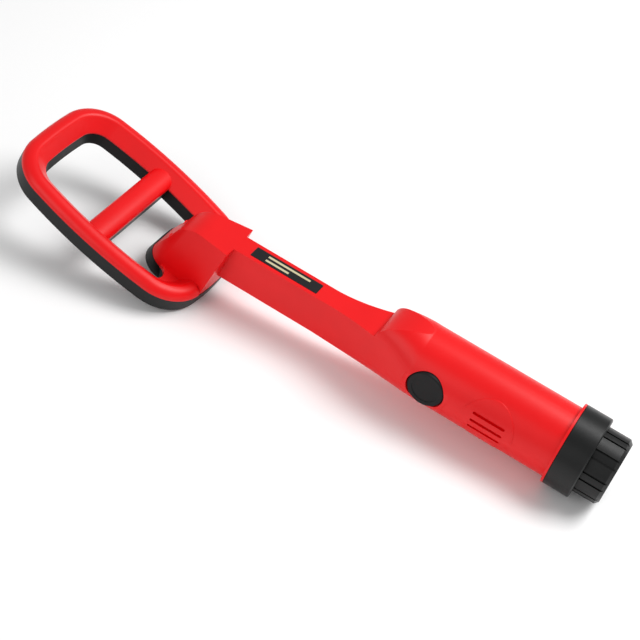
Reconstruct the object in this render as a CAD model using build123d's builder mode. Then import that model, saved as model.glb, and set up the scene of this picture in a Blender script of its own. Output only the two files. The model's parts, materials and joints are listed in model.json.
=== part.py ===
from build123d import *
from math import cos, radians, sin, sqrt
import os

# Hand-held underwater metal detector: a rounded-rectangular search loop with a crossbar, a flat shaft,
# and a round grip with a push button, sounder slots and a screwed battery cap. Millimetres.
#
# Frame: +X runs along the grip's axis towards the battery cap, +Z is up (the label's side) and the button
# faces -Y. The origin is on the grip's axis, at the plane where the barrel meets its rear lip.
# The loop has a frame of its own: u points away from the grip, v across, h up from the sole.

os.makedirs("parts", exist_ok=True)

# ---------------------------------------------------------------- driving dimensions

# grip and battery cap
BARREL_R = 23.0
CAVITY_R = 20.0
BARREL_LENGTH = 95.0
LIP_R = 26.2
LIP_THICKNESS = 1.5
COLLAR_LENGTH = 17.0
KNOB_R = 21.5
KNOB_LENGTH = 16.5
KNOB_CHAMFER = 2.3
PLUG_R = 18.9
PLUG_BORE_R = 16.3
THREAD_PITCH = 4.0
THREAD_HEIGHT = 0.8
SEAL_GROOVE_R = 17.34
GROOVE_PAIRS = 9
GROOVE_STEP = 14.0

# shaft and hub top
SHAFT_HALF_WIDTH = 7.6
SHAFT_TOP_Z = 5.7
SHAFT_BOTTOM_Z = -21.3
SHOULDER_X = -124.8
SHOULDER_Z = 8.3
CHANNEL_HALF_WIDTH = 4.4

# push button
BUTTON_X = -83.1
BUTTON_R = 11.9
BUTTON_BORE_R = 12.4
BUTTON_FACE_Y = -21.8
BUTTON_TRAVEL = 1.5
BUTTON_SLEEVE_R = 15.6
BUTTON_SLEEVE_DEPTH = 13.0
BUTTON_FLANGE_R = 13.2
BUTTON_FLANGE_BORE_R = 13.6
BUTTON_FLANGE_Y = -15.75
RETAINER_THICKNESS = 1.0
SPOT_FACE_R = 15.0

# sounder
SOUNDER_X = -41.4
SOUNDER_R = 10.0
SOUNDER_THICKNESS = 2.6
SOUNDER_SEAT_DEPTH = 17.2
SLOT_LENGTH = 21.3
SLOT_WIDTH = 1.9
SLOT_PITCH = 5.4

# search loop, in its own frame
LOOP_TILT = 16.2
LOOP_X = -307.0
LOOP_Z = -22.6
LOOP_HALF_LENGTH = 71.6
LOOP_HALF_WIDTH = 49.5
FAR_BOW = 3.0
NEAR_BOW = 6.3
SIDE_CORNER_V = 43.0
LOOP_CORNER_R = 30.0
RIM_WIDTH = 16.4
SEAM_OUTER_H = 10.35
SEAM_INNER_H = 6.95
CREST_H = 16.2
CREST_INSET = 7.0
CREST_R = 3.0
CREST_TURN = 45.3
STAND_TILT = 3.534
STAND_X = 17.8
STAND_Z = -26.2
STAND_REACH = 257.0
THIN_GAP = 0.05
FREE_GAP = 0.1
WALL = 2.4
BAR_U = 1.1
BAR_WIDTH = 16.2
BAR_TOP_H = 13.2
BAR_SIDE = 1.5

# hub, where the shaft stands on the loop
HUB_H = SEAM_INNER_H
HUB_FRONT_U = -27.5
HUB_HALF_WIDTH = 20.5
HUB_CORNER_R = 13.0
HUB_WALL = 3.0
GAP_END_U = -40.0
GAP_END_V = 27.0
GAP_END_R = 6.0
SCREW_PLACES = [(-35.0, 8.5), (-35.0, -8.5), (-54.0, 12.0), (-54.0, -12.0)]
SCREW_HEAD_R = 3.0
SCREW_SHANK_R = 1.25
POST_R = 3.4
POST_TOP_H = 22.0

# battery: a nine-volt block, its terminals towards the circuit board
BATTERY_BODY = 46.4
BATTERY_WIDTH = 17.5
BATTERY_HEIGHT = 26.5
BATTERY_REAR_X = 18.5
TERMINAL_LENGTH = 2.1

# circuit board, edge on to the button
BOARD_FRONT_X = -103.0
BOARD_REAR_X = -58.0
BOARD_Y = -6.0
BOARD_THICKNESS = 1.6
BOARD_HALF_WIDTH = 14.5
BOARD_SCREW_PLACES = [(-60.5, 9.5), (-60.5, -9.5)]
CRADLE_X = -56.0

# vibration motor, behind the board
MOTOR_Y = 5.0
MOTOR_Z = -8.0
MOTOR_R = 4.5
MOTOR_SHAFT_R = 0.75

# ---------------------------------------------------------------- shared frames and outlines

tilt = radians(LOOP_TILT)
loop = Plane(origin=(LOOP_X, 0, LOOP_Z), x_dir=(-cos(tilt), 0, sin(tilt)), z_dir=(sin(tilt), 0, cos(tilt)))
board_back_y = BOARD_Y + BOARD_THICKNESS
lip_x = LIP_THICKNESS
collar_end_x = lip_x + COLLAR_LENGTH
lean = radians(STAND_TILT)
stand = Plane(origin=(STAND_X, 0, STAND_Z), x_dir=(cos(lean), 0, sin(lean)), z_dir=(-sin(lean), 0, cos(lean)))
barrel_corner_r = BARREL_R - FREE_GAP
bar_half = BAR_WIDTH / 2
bar_rise = BAR_TOP_H - SEAM_INNER_H
knob_end_x = collar_end_x + KNOB_LENGTH


def half_way_bow(bow):
    """How far a circular bow has fallen half way between its peak and the loop's corner."""
    radius = (SIDE_CORNER_V**2 + bow**2) / (2 * bow)
    return radius - sqrt(radius**2 - (SIDE_CORNER_V / 2) ** 2)


# half of the loop's outer outline, from the middle of the far end to the middle of the near end
with BuildLine(loop) as half_rim:
    far_end = ThreePointArc(
        (LOOP_HALF_LENGTH, 0),
        (LOOP_HALF_LENGTH - half_way_bow(FAR_BOW), SIDE_CORNER_V / 2),
        (LOOP_HALF_LENGTH - FAR_BOW, SIDE_CORNER_V),
    )
    side = ThreePointArc(far_end @ 1, (0, LOOP_HALF_WIDTH), (NEAR_BOW - LOOP_HALF_LENGTH, SIDE_CORNER_V))
    ThreePointArc(
        side @ 1,
        (half_way_bow(NEAR_BOW) - LOOP_HALF_LENGTH, SIDE_CORNER_V / 2),
        (-LOOP_HALF_LENGTH, 0),
    )
    fillet(half_rim.vertices().sort_by(Axis.Y)[:2], radius=LOOP_CORNER_R)
rim_path = half_rim.wires()[0]

# the same outline, whole and in the sketch plane
with BuildSketch() as rim_outline:
    with BuildLine():
        far_whole = ThreePointArc(
            (LOOP_HALF_LENGTH - FAR_BOW, -SIDE_CORNER_V),
            (LOOP_HALF_LENGTH, 0),
            (LOOP_HALF_LENGTH - FAR_BOW, SIDE_CORNER_V),
        )
        side_whole = ThreePointArc(
            far_whole @ 1, (0, LOOP_HALF_WIDTH), (NEAR_BOW - LOOP_HALF_LENGTH, SIDE_CORNER_V)
        )
        near_whole = ThreePointArc(
            side_whole @ 1, (-LOOP_HALF_LENGTH, 0), (NEAR_BOW - LOOP_HALF_LENGTH, -SIDE_CORNER_V)
        )
        ThreePointArc(near_whole @ 1, (0, -LOOP_HALF_WIDTH), far_whole @ 0)
    make_face()
    fillet(rim_outline.vertices(), radius=LOOP_CORNER_R)

# the plane of the rim's section, at the middle of the far end: x is the inset from the edge, y is h
rim_section = Plane(
    origin=loop.from_local_coords((LOOP_HALF_LENGTH, 0, 0)),
    x_dir=-loop.x_dir,
    z_dir=(-loop.x_dir).cross(loop.z_dir),
)

# the plane of the crossbar's section: x is along u, y is h above the inner seam
bar_section = Plane(
    origin=loop.from_local_coords((BAR_U, 0, SEAM_INNER_H)),
    x_dir=loop.x_dir,
    z_dir=(0, 1, 0),
)


def sweep_rim():
    """Carries the pending section round the loop and mirrors it to the other side."""
    sweep(path=rim_path)
    mirror(about=Plane.XZ)


def tongue_outline(inset):
    """Plan of the hub on the loop: a round-cornered front and a rear that follows the loop's near end."""
    half_width = HUB_HALF_WIDTH - inset
    front = HUB_FRONT_U - inset
    radius = HUB_CORNER_R - inset
    rear = inset - LOOP_HALF_LENGTH
    diagonal = radius * (1 - sqrt(0.5))
    with BuildSketch() as outline:
        with BuildLine():
            Line((front, radius - half_width), (front, half_width - radius))
            ThreePointArc(
                (front, half_width - radius),
                (front - diagonal, half_width - diagonal),
                (front - radius, half_width),
            )
            Line((front - radius, half_width), (rear + 1.5, half_width))
            ThreePointArc((rear + 1.5, half_width), (rear, 0), (rear + 1.5, -half_width))
            Line((rear + 1.5, -half_width), (front - radius, -half_width))
            ThreePointArc(
                (front - radius, -half_width),
                (front - diagonal, diagonal - half_width),
                (front, radius - half_width),
            )
        make_face()
    return outline.sketch


def hub_top_outline(inset):
    """Plan of the hub's top: narrower towards the loop, square-cornered at the shaft's end."""
    front_x = -260.0 + 2.0 * inset
    rear_x = -227.6 - inset
    front_half = 11.0 - inset
    rear_half = 15.5 - inset
    radius = 4.0 - 0.5 * inset
    diagonal = radius * (1 - sqrt(0.5))
    with BuildSketch() as outline:
        with BuildLine():
            Line((front_x, radius - front_half), (front_x, front_half - radius))
            ThreePointArc(
                (front_x, front_half - radius),
                (front_x + diagonal, front_half - diagonal),
                (front_x + radius, front_half),
            )
            Line((front_x + radius, front_half), (rear_x, rear_half))
            ThreePointArc((rear_x, rear_half), (rear_x + 0.4, 0), (rear_x, -rear_half))
            Line((rear_x, -rear_half), (front_x + radius, -front_half))
            ThreePointArc(
                (front_x + radius, -front_half),
                (front_x + diagonal, diagonal - front_half),
                (front_x, radius - front_half),
            )
        make_face()
    return outline.sketch


def thread_ridge(start_x, length, root_r, crest_r):
    """A helical thread ridge round the X axis, on a root cylinder that it sinks into a little."""
    height = crest_r - root_r
    out = 1 if height > 0 else -1
    with BuildPart() as ridge:
        with BuildLine():
            helix = Helix(THREAD_PITCH, length, root_r, center=(start_x, 0, 0), direction=(1, 0, 0))
        start = helix @ 0
        with BuildSketch(Plane(origin=start, x_dir=(0, start.Y, start.Z), z_dir=helix % 0)):
            with BuildLine():
                Polyline((-0.3 * out, -1.25), (height, -0.6), (height, 0.6), (-0.3 * out, 1.25), close=True)
            make_face()
        sweep(is_frenet=True)
    return ridge.part


def wire_pair(points, spacing, radius, bend):
    """Two round wires side by side in Z, along the same route of (x, y) points."""
    with BuildPart() as wires:
        for z in (-spacing / 2, spacing / 2):
            with BuildLine():
                route = FilletPolyline([(x, y, z) for x, y in points], radius=bend)
            with BuildSketch(Plane(origin=route @ 0, z_dir=route % 0)):
                Circle(radius)
            sweep()
    return wires.part


# ---------------------------------------------------------------- housing

# the hub as a full block, from the loop's plane up to above the shaft's top
with BuildPart() as hub_block:
    with BuildSketch(loop.offset(HUB_H)):
        add(tongue_outline(0))
    with BuildSketch(Plane.XY.offset(SHAFT_TOP_Z + 1)):
        add(hub_top_outline(0))
    loft(ruled=True)

with BuildPart() as hub_hollow:
    with BuildSketch(loop.offset(HUB_H)):
        add(tongue_outline(HUB_WALL))
    with BuildSketch(Plane.XY.offset(SHAFT_TOP_Z - HUB_WALL)):
        add(hub_top_outline(HUB_WALL))
    loft(ruled=True)

# the sounder's round pad: a thin raised disc that follows the barrel
with BuildPart() as sounder_pad:
    with BuildSketch(Plane.YZ.offset(SOUNDER_X - 20)):
        Circle(BARREL_R + 0.35)
    extrude(amount=40)
    with BuildSketch(Plane.XZ.offset(10)):
        with Locations((SOUNDER_X, 0)):
            Circle(17)
    extrude(amount=20, mode=Mode.INTERSECT)

# inside the barrel's wall: a sleeve for the button and a seat for the sounder
with BuildPart() as wall_bosses:
    with BuildSketch(Plane.XZ.offset(BUTTON_SLEEVE_DEPTH)):
        with Locations((BUTTON_X, 0)):
            Circle(BUTTON_SLEEVE_R)
    extrude(amount=12)
    with BuildSketch(Plane.XZ.offset(SOUNDER_SEAT_DEPTH - SOUNDER_THICKNESS)):
        with Locations((SOUNDER_X, 0)):
            Circle(SOUNDER_R + 2)
    extrude(amount=12)
    with BuildSketch(Plane.YZ.offset(BUTTON_X - 20)):
        Circle(BARREL_R - 0.5)
    extrude(amount=80, mode=Mode.INTERSECT)

with BuildPart() as handle_housing:
    # straight shaft, then its flare into the barrel; both are cut to height below
    for x in (-250.0, -165.0):
        with BuildSketch(Plane.YZ.offset(x)):
            with Locations((0, (SHAFT_BOTTOM_Z + 10) / 2)):
                RectangleRounded(2 * SHAFT_HALF_WIDTH, 10 - SHAFT_BOTTOM_Z, 1.0)
    loft(ruled=True)
    for x, half_width, bottom, top, corner in (
        (-165.0, SHAFT_HALF_WIDTH, SHAFT_BOTTOM_Z, 10.0, 1.0),
        (-143.0, 9.2, -21.9, 15.0, 3.2),
        (SHOULDER_X, 13.4, -22.6, 20.4, 10.0),
        (-BARREL_LENGTH, BARREL_R, -BARREL_R, BARREL_R, barrel_corner_r),
    ):
        with BuildSketch(Plane.YZ.offset(x)):
            with Locations((0, (bottom + top) / 2)):
                RectangleRounded(2 * half_width, top - bottom, corner)
    loft()
    add(hub_block.part)
    # everything above the skyline goes: the hub's rounded front, the flat top, the scoop and the nose
    with BuildSketch(Plane.XZ):
        with BuildLine():
            front = Line((-279.5, -25.5), (-268.1, -8.1))
            roll = ThreePointArc(front @ 1, (-261.2, 1.6), (-249.0, SHAFT_TOP_Z))
            top = Line(roll @ 1, (-166.0, SHAFT_TOP_Z))
            ThreePointArc(top @ 1, (-145.0, 6.5), (SHOULDER_X, SHOULDER_Z))
            nose = EllipticalCenterArc(
                (-96.8, SHOULDER_Z), 28.0, BARREL_R + FREE_GAP - SHOULDER_Z, start_angle=180, arc_size=-90
            )
            Polyline(nose @ 1, (-90, BARREL_R + FREE_GAP), (-90, 40), (-300, 40), (-300, -25.5), front @ 0)
        make_face()
    extrude(amount=40, both=True, mode=Mode.SUBTRACT)
    # barrel, round but for four hair-wide flats that match the flare's end, and its rear lip
    with BuildSketch(Plane.YZ):
        RectangleRounded(2 * BARREL_R, 2 * BARREL_R, barrel_corner_r)
    extrude(amount=-BARREL_LENGTH)
    with BuildSketch(Plane.YZ):
        Circle(LIP_R)
    extrude(amount=LIP_THICKNESS)
    add(sounder_pad.part)
    # battery and board cavity, the shaft's wire channel and the hub's hollow
    with BuildSketch(Plane.XY):
        with BuildLine():
            Polyline((-118, 0), (-118, 10.5), (-98, CAVITY_R), (lip_x, CAVITY_R), (lip_x, 0), close=True)
        make_face()
    revolve(axis=Axis.X, mode=Mode.SUBTRACT)
    with BuildSketch(Plane.YZ.offset(-238)):
        with Locations((0, -7)):
            RectangleRounded(2 * CHANNEL_HALF_WIDTH, 18, 1.5)
    extrude(amount=125, mode=Mode.SUBTRACT)
    add(hub_hollow.part, mode=Mode.SUBTRACT)
    # screw posts inside the hub
    with BuildSketch(loop.offset(HUB_H)):
        with Locations(*SCREW_PLACES):
            Circle(POST_R)
    extrude(amount=POST_TOP_H - HUB_H)
    with BuildSketch(loop.offset(HUB_H)):
        with Locations(*SCREW_PLACES):
            Circle(SCREW_SHANK_R + THIN_GAP)
    extrude(amount=POST_TOP_H - HUB_H - 2, mode=Mode.SUBTRACT)
    # the loop base's outer wall stands in front of the hub's foot
    with BuildSketch(loop):
        add(rim_outline.sketch)
        offset(rim_outline.sketch, amount=-WALL, mode=Mode.SUBTRACT)
    extrude(amount=SEAM_OUTER_H, mode=Mode.SUBTRACT)
    add(wall_bosses.part)
    # button bore, with a spot face outside and a wider bore for the flange inside
    with BuildSketch(Plane.XZ.offset(22.3)):
        with Locations((BUTTON_X, 0)):
            Circle(SPOT_FACE_R)
    extrude(amount=5, mode=Mode.SUBTRACT)
    with BuildSketch(Plane.XZ.offset(12)):
        with Locations((BUTTON_X, 0)):
            Circle(BUTTON_BORE_R)
    extrude(amount=15, mode=Mode.SUBTRACT)
    with BuildSketch(Plane.XZ.offset(12)):
        with Locations((BUTTON_X, 0)):
            Circle(BUTTON_FLANGE_BORE_R)
    extrude(amount=5, mode=Mode.SUBTRACT)
    # the sounder's seat and the shallow chamber in front of it
    with BuildSketch(Plane.XZ.offset(10)):
        with Locations((SOUNDER_X, 0)):
            Circle(SOUNDER_R)
    extrude(amount=SOUNDER_SEAT_DEPTH - 10, mode=Mode.SUBTRACT)
    with BuildSketch(Plane.XZ.offset(SOUNDER_SEAT_DEPTH)):
        with Locations((SOUNDER_X, 0)):
            Circle(SOUNDER_R - 1.5)
    extrude(amount=2, mode=Mode.SUBTRACT)
    # blind sounder slots, which leave a thin wall for the sounder to drive
    with BuildSketch(Plane.XZ.offset(21.1)):
        with Locations((SOUNDER_X, 0), (SOUNDER_X, SLOT_PITCH), (SOUNDER_X, -SLOT_PITCH)):
            SlotOverall(SLOT_LENGTH, SLOT_WIDTH)
    extrude(amount=5, mode=Mode.SUBTRACT)
    # label recess
    with BuildSketch(Plane.XY.offset(SHAFT_TOP_Z - 0.4)):
        with Locations((-193.75, 0)):
            RectangleRounded(47.5, 9.5, 0.6)
    extrude(amount=2, mode=Mode.SUBTRACT)
    # the mouth's thread
    add(thread_ridge(-12.0, 7.0, CAVITY_R, CAVITY_R - THREAD_HEIGHT))

handle_housing.part.label = "handle_housing"
export_step(handle_housing.part, "parts/handle_housing.step")

# ---------------------------------------------------------------- search loop

with BuildPart() as loop_base:
    with BuildSketch(rim_section):
        with BuildLine():
            Polyline(
                (0.8, 0),
                (0, 0.8),
                (0, SEAM_OUTER_H),
                (WALL, SEAM_OUTER_H),
                (WALL, WALL),
                (13.6, WALL),
                (13.6, SEAM_INNER_H),
                (RIM_WIDTH, SEAM_INNER_H),
                (RIM_WIDTH + 2.3, 0),
                close=True,
            )
        make_face()
    sweep_rim()
    # tongue under the hub, a little wider at the sole
    with BuildSketch(loop):
        add(tongue_outline(-1.8))
        with Locations((-LOOP_HALF_LENGTH - 4, 0)):
            Rectangle(37.2, 60, mode=Mode.SUBTRACT)
    with BuildSketch(loop.offset(HUB_H)):
        add(tongue_outline(-0.4))
        with Locations((-LOOP_HALF_LENGTH - 4, 0)):
            Rectangle(37.2, 60, mode=Mode.SUBTRACT)
    loft()
    # web that closes the window between the tongue and the rim
    with BuildSketch(loop):
        offset(rim_outline.sketch, amount=-14.5)
        with Locations((GAP_END_U - 40, 0)):
            Rectangle(80, 100, mode=Mode.INTERSECT)
        with Locations((GAP_END_U, GAP_END_V), (GAP_END_U, -GAP_END_V)):
            Circle(GAP_END_R, mode=Mode.SUBTRACT)
    extrude(amount=SEAM_INNER_H)
    # crossbar's underside
    with BuildSketch(loop):
        with Locations((BAR_U, 0)):
            Rectangle(BAR_WIDTH, 2 * (LOOP_HALF_WIDTH - 14.5))
    extrude(amount=SEAM_INNER_H)
    # pocket under the hub's hollow, open to the coil channel
    with BuildSketch(loop.offset(WALL)):
        add(tongue_outline(HUB_WALL))
        offset(rim_outline.sketch, amount=-WALL, mode=Mode.INTERSECT)
    extrude(amount=HUB_H, mode=Mode.SUBTRACT)
    with BuildSketch(loop):
        with Locations(*SCREW_PLACES):
            Circle(POST_R)
    extrude(amount=HUB_H)
    with Locations(*[Location(loop * Pos(u, v, 0)) for u, v in SCREW_PLACES]):
        CounterBoreHole(1.6, SCREW_HEAD_R + 0.3, 2.6, depth=2 * HUB_H)
    # narrow flat that the detector stands on, in line with the bottom of the collar's rear edge
    with BuildSketch(stand):
        with Locations((-STAND_REACH, 0)):
            Rectangle(20, 60)
    extrude(amount=-10, mode=Mode.SUBTRACT)

loop_base.part.label = "loop_base"
export_step(loop_base.part, "parts/loop_base.step")

with BuildPart() as loop_cover:
    with BuildSketch(rim_section):
        with BuildLine():
            EllipticalCenterArc(
                (CREST_INSET, SEAM_OUTER_H), CREST_INSET, CREST_H - SEAM_OUTER_H, start_angle=90, arc_size=90
            )
            crest = CenterArc((CREST_INSET, CREST_H - CREST_R), CREST_R, start_angle=90, arc_size=-CREST_TURN)
            Polyline(
                crest @ 1,
                (RIM_WIDTH - 0.9, 8.9),
                (RIM_WIDTH, 8.0),
                (RIM_WIDTH, SEAM_INNER_H),
                (14.0, SEAM_INNER_H),
                (14.0, 7.8),
                (CREST_INSET, CREST_H - WALL),
                (WALL + 1.2, 12.6),
                (WALL, SEAM_OUTER_H),
                (0, SEAM_OUTER_H),
            )
        make_face()
    sweep_rim()
    # crossbar with a rounded top
    with BuildSketch(bar_section):
        with BuildLine():
            EllipticalCenterArc((0, BAR_SIDE), bar_half, bar_rise - BAR_SIDE, start_angle=0, arc_size=180)
            Polyline((-bar_half, BAR_SIDE), (-bar_half, 0), (bar_half, 0), (bar_half, BAR_SIDE))
        make_face()
    extrude(amount=LOOP_HALF_WIDTH - 9, both=True)
    # web between the rim and the hub's foot
    with BuildSketch(loop.offset(SEAM_INNER_H)):
        offset(rim_outline.sketch, amount=-13.0)
        with Locations((GAP_END_U - 40, 0)):
            Rectangle(80, 100, mode=Mode.INTERSECT)
        with Locations((GAP_END_U, GAP_END_V), (GAP_END_U, -GAP_END_V)):
            Circle(GAP_END_R, mode=Mode.SUBTRACT)
    extrude(amount=2.2)
    # room for the hub
    add(hub_block.part, mode=Mode.SUBTRACT)
    with BuildSketch(loop):
        with Locations((-LOOP_HALF_LENGTH, 0)):
            Rectangle(12, 2 * HUB_HALF_WIDTH - 1)
    extrude(amount=CREST_H + 4, mode=Mode.SUBTRACT)

loop_cover.part.label = "loop_cover"
export_step(loop_cover.part, "parts/loop_cover.step")

with BuildPart() as hub_screws:
    with BuildSketch(loop.offset(0.5)):
        with Locations(*SCREW_PLACES):
            Circle(SCREW_HEAD_R)
    extrude(amount=2.1)
    with BuildSketch(loop.offset(0.5)):
        with Locations(*SCREW_PLACES):
            Circle(SCREW_SHANK_R)
    extrude(amount=POST_TOP_H - 5)
    # cross recesses
    with BuildSketch(loop.offset(0.5)):
        with Locations(*SCREW_PLACES):
            Rectangle(3.4, 0.8)
            Rectangle(0.8, 3.4)
    extrude(amount=1.2, mode=Mode.SUBTRACT)

hub_screws.part.label = "hub_screws"
export_step(hub_screws.part, "parts/hub_screws.step")

# the search coil lies in the loop base's channel
with BuildPart() as coil_winding:
    with BuildSketch(rim_section):
        with Locations((8.2, 4.7)):
            RectangleRounded(5.6, 3.2, 1.2)
    sweep_rim()

coil_winding.part.label = "coil_winding"
export_step(coil_winding.part, "parts/coil_winding.step")

# its lead climbs through the hub and runs along the shaft to the circuit board
with BuildPart() as coil_lead:
    coil_top = loop.from_local_coords((-62.0, 0, 6.75))
    with BuildLine():
        coil_route = FilletPolyline(
            coil_top,
            (coil_top.X + 3.5, 0, coil_top.Z + 18),
            (-228, 0, -7),
            (-150, 0, -7),
            (-122, 0, -4),
            (-111, -1.4, 0),
            (-102, -1.4, 0),
            radius=7,
        )
    with BuildSketch(Plane(origin=coil_route @ 0, z_dir=coil_route % 0)):
        Circle(1.6)
    sweep()

coil_lead.part.label = "coil_lead"
export_step(coil_lead.part, "parts/coil_lead.step")

# rubber grommet that seals the lead where the shaft opens into the hub
with BuildPart() as lead_grommet:
    with BuildSketch(Plane.YZ.offset(-216)):
        with Locations((0, -7)):
            RectangleRounded(2 * CHANNEL_HALF_WIDTH, 18, 1.5)
            Circle(1.7, mode=Mode.SUBTRACT)
    extrude(amount=8)

lead_grommet.part.label = "lead_grommet"
export_step(lead_grommet.part, "parts/lead_grommet.step")

# ---------------------------------------------------------------- label

with BuildPart() as label_plate:
    with BuildSketch(Plane.XY.offset(SHAFT_TOP_Z - 0.4)):
        with Locations((-193.75, 0)):
            RectangleRounded(47.3, 9.3, 0.5)
    extrude(amount=0.6)

label_plate.part.label = "label_plate"
export_step(label_plate.part, "parts/label_plate.step")

# ---------------------------------------------------------------- battery cap

with BuildPart() as battery_cap:
    with BuildSketch(Plane.XY):
        with BuildLine():
            Polyline(
                (-13.0, PLUG_BORE_R),
                (-13.0, PLUG_R - 0.6),
                (-12.4, PLUG_R),
                (-3.4, PLUG_R),
                (-3.4, SEAL_GROOVE_R),
                (-0.6, SEAL_GROOVE_R),
                (-0.6, PLUG_R),
                (lip_x, PLUG_R),
                (lip_x, LIP_R - 0.4),
                (lip_x + 0.4, LIP_R),
                (collar_end_x - 0.7, LIP_R),
                (collar_end_x, LIP_R - 0.7),
                (collar_end_x, KNOB_R),
                (knob_end_x - KNOB_CHAMFER, KNOB_R),
                (knob_end_x, KNOB_R - KNOB_CHAMFER),
                (knob_end_x, 0),
                (knob_end_x - 3.0, 0),
                (knob_end_x - 3.0, PLUG_BORE_R),
                close=True,
            )
        make_face()
    revolve(axis=Axis.X)
    # the collar is cored out from its front face
    with BuildSketch(Plane.YZ.offset(lip_x)):
        Circle(LIP_R - 2.6)
        Circle(CAVITY_R + 0.6, mode=Mode.SUBTRACT)
    extrude(amount=COLLAR_LENGTH - 2.6, mode=Mode.SUBTRACT)
    # grip ribs: pairs of narrow grooves with wide smooth bands between them
    with BuildSketch(Plane.YZ.offset(collar_end_x)):
        with PolarLocations(KNOB_R, GROOVE_PAIRS):
            Rectangle(2.2, 1.2)
        with PolarLocations(KNOB_R, GROOVE_PAIRS, start_angle=GROOVE_STEP):
            Rectangle(2.2, 1.2)
    extrude(amount=KNOB_LENGTH, mode=Mode.SUBTRACT)
    add(thread_ridge(-10.0, 5.0, PLUG_R, PLUG_R + THREAD_HEIGHT))

battery_cap.part.label = "battery_cap"
export_step(battery_cap.part, "parts/battery_cap.step")

with BuildPart() as cap_seal:
    with BuildSketch(Plane.XY):
        with Locations((-2.0, SEAL_GROOVE_R + 1.31)):
            Circle(1.3)
    revolve(axis=Axis.X)

cap_seal.part.label = "cap_seal"
export_step(cap_seal.part, "parts/cap_seal.step")

with BuildPart() as cap_pad:
    with BuildSketch(Plane.YZ.offset(BATTERY_REAR_X + 0.5)):
        Circle(PLUG_BORE_R - 0.5)
    extrude(amount=knob_end_x - 3.0 - BATTERY_REAR_X - 0.5)

cap_pad.part.label = "cap_pad"
export_step(cap_pad.part, "parts/cap_pad.step")

# ---------------------------------------------------------------- push button and switch

with BuildPart() as button_cap:
    with BuildSketch(Plane.XZ.offset(-BUTTON_FLANGE_Y)):
        with Locations((BUTTON_X, 0)):
            Circle(BUTTON_FLANGE_R)
    extrude(amount=1.2)
    with BuildSketch(Plane.XZ.offset(-BUTTON_FLANGE_Y)):
        with Locations((BUTTON_X, 0)):
            Circle(BUTTON_R)
    extrude(amount=BUTTON_FLANGE_Y - BUTTON_FACE_Y)
    fillet(button_cap.faces().sort_by(Axis.Y)[0].edges(), radius=1.1)
    # shallow dish in the face
    with BuildSketch(Plane.XZ.offset(-BUTTON_FACE_Y)):
        with Locations((BUTTON_X, 0)):
            Circle(8.6)
    extrude(amount=-0.25, mode=Mode.SUBTRACT)
    # seal groove
    with BuildSketch(Plane.XZ.offset(17.2)):
        with Locations((BUTTON_X, 0)):
            Circle(BUTTON_R + 1)
            Circle(BUTTON_BORE_R - 1.46, mode=Mode.SUBTRACT)
    extrude(amount=1.6, mode=Mode.SUBTRACT)
    # stem that pushes the switch
    with BuildSketch(Plane.XZ.offset(13.6)):
        with Locations((BUTTON_X, 0)):
            Circle(2.6)
    extrude(amount=3)

button_cap.part.label = "button_cap"
export_step(button_cap.part, "parts/button_cap.step")

with BuildPart() as button_seal:
    with BuildSketch(Plane.XY):
        with Locations((BUTTON_X + BUTTON_BORE_R - 0.73, -18.0)):
            Circle(0.7)
    revolve(axis=Axis((BUTTON_X, 0, 0), (0, 1, 0)))

button_seal.part.label = "button_seal"
export_step(button_seal.part, "parts/button_seal.step")

# the retainer's outer face stops the flange at full travel
with BuildPart() as button_retainer:
    with BuildSketch(Plane.XZ.offset(-BUTTON_FLANGE_Y - BUTTON_TRAVEL - THIN_GAP)):
        with Locations((BUTTON_X, 0)):
            Circle(BUTTON_FLANGE_BORE_R - THIN_GAP)
            Circle(9.5, mode=Mode.SUBTRACT)
    extrude(amount=-RETAINER_THICKNESS)

button_retainer.part.label = "button_retainer"
export_step(button_retainer.part, "parts/button_retainer.step")

with BuildPart() as switch_body:
    with BuildSketch(Plane.XZ.offset(-BOARD_Y)):
        with Locations((BUTTON_X, 0)):
            RectangleRounded(8.5, 8.5, 0.6)
    extrude(amount=5.0)
    with BuildSketch(Plane.XZ.offset(7.4)):
        with Locations((BUTTON_X, 0)):
            Rectangle(3.5, 3.5)
    extrude(amount=5.0, mode=Mode.SUBTRACT)

switch_body.part.label = "switch_body"
export_step(switch_body.part, "parts/switch_body.step")

with BuildPart() as switch_plunger:
    with BuildSketch(Plane.XZ.offset(9.4)):
        with Locations((BUTTON_X, 0)):
            Rectangle(3.3, 3.3)
    extrude(amount=13.6 - 9.4)

switch_plunger.part.label = "switch_plunger"
export_step(switch_plunger.part, "parts/switch_plunger.step")

# ---------------------------------------------------------------- circuit board and its parts

with BuildPart() as main_board:
    with BuildSketch(Plane.XZ.offset(-board_back_y)):
        with Locations(((BOARD_FRONT_X + BOARD_REAR_X) / 2, 0)):
            RectangleRounded(BOARD_REAR_X - BOARD_FRONT_X, 2 * BOARD_HALF_WIDTH, 2)
        with Locations(*BOARD_SCREW_PLACES):
            Circle(1.4, mode=Mode.SUBTRACT)
    extrude(amount=BOARD_THICKNESS)

main_board.part.label = "main_board"
export_step(main_board.part, "parts/main_board.step")

# the controller sits on the board's button side
with BuildPart() as controller_chip:
    with BuildSketch(Plane.XZ.offset(-BOARD_Y)):
        with Locations((-95.5, 0)):
            Rectangle(6.0, 10.0)
    extrude(amount=1.7)
    with BuildSketch(Plane.XZ.offset(-BOARD_Y)):
        with GridLocations(6.8, 1.27, 2, 7):
            with Locations((-95.5, 0)):
                Rectangle(1.0, 0.45)
    extrude(amount=0.3)

controller_chip.part.label = "controller_chip"
export_step(controller_chip.part, "parts/controller_chip.step")

with BuildPart() as power_transistor:
    with BuildSketch(Plane.XZ.offset(-board_back_y - 4.4)):
        with Locations((-87.0, 1.8)):
            Rectangle(9.2, 7.0)
    extrude(amount=4.4)

power_transistor.part.label = "power_transistor"
export_step(power_transistor.part, "parts/power_transistor.step")

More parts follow.
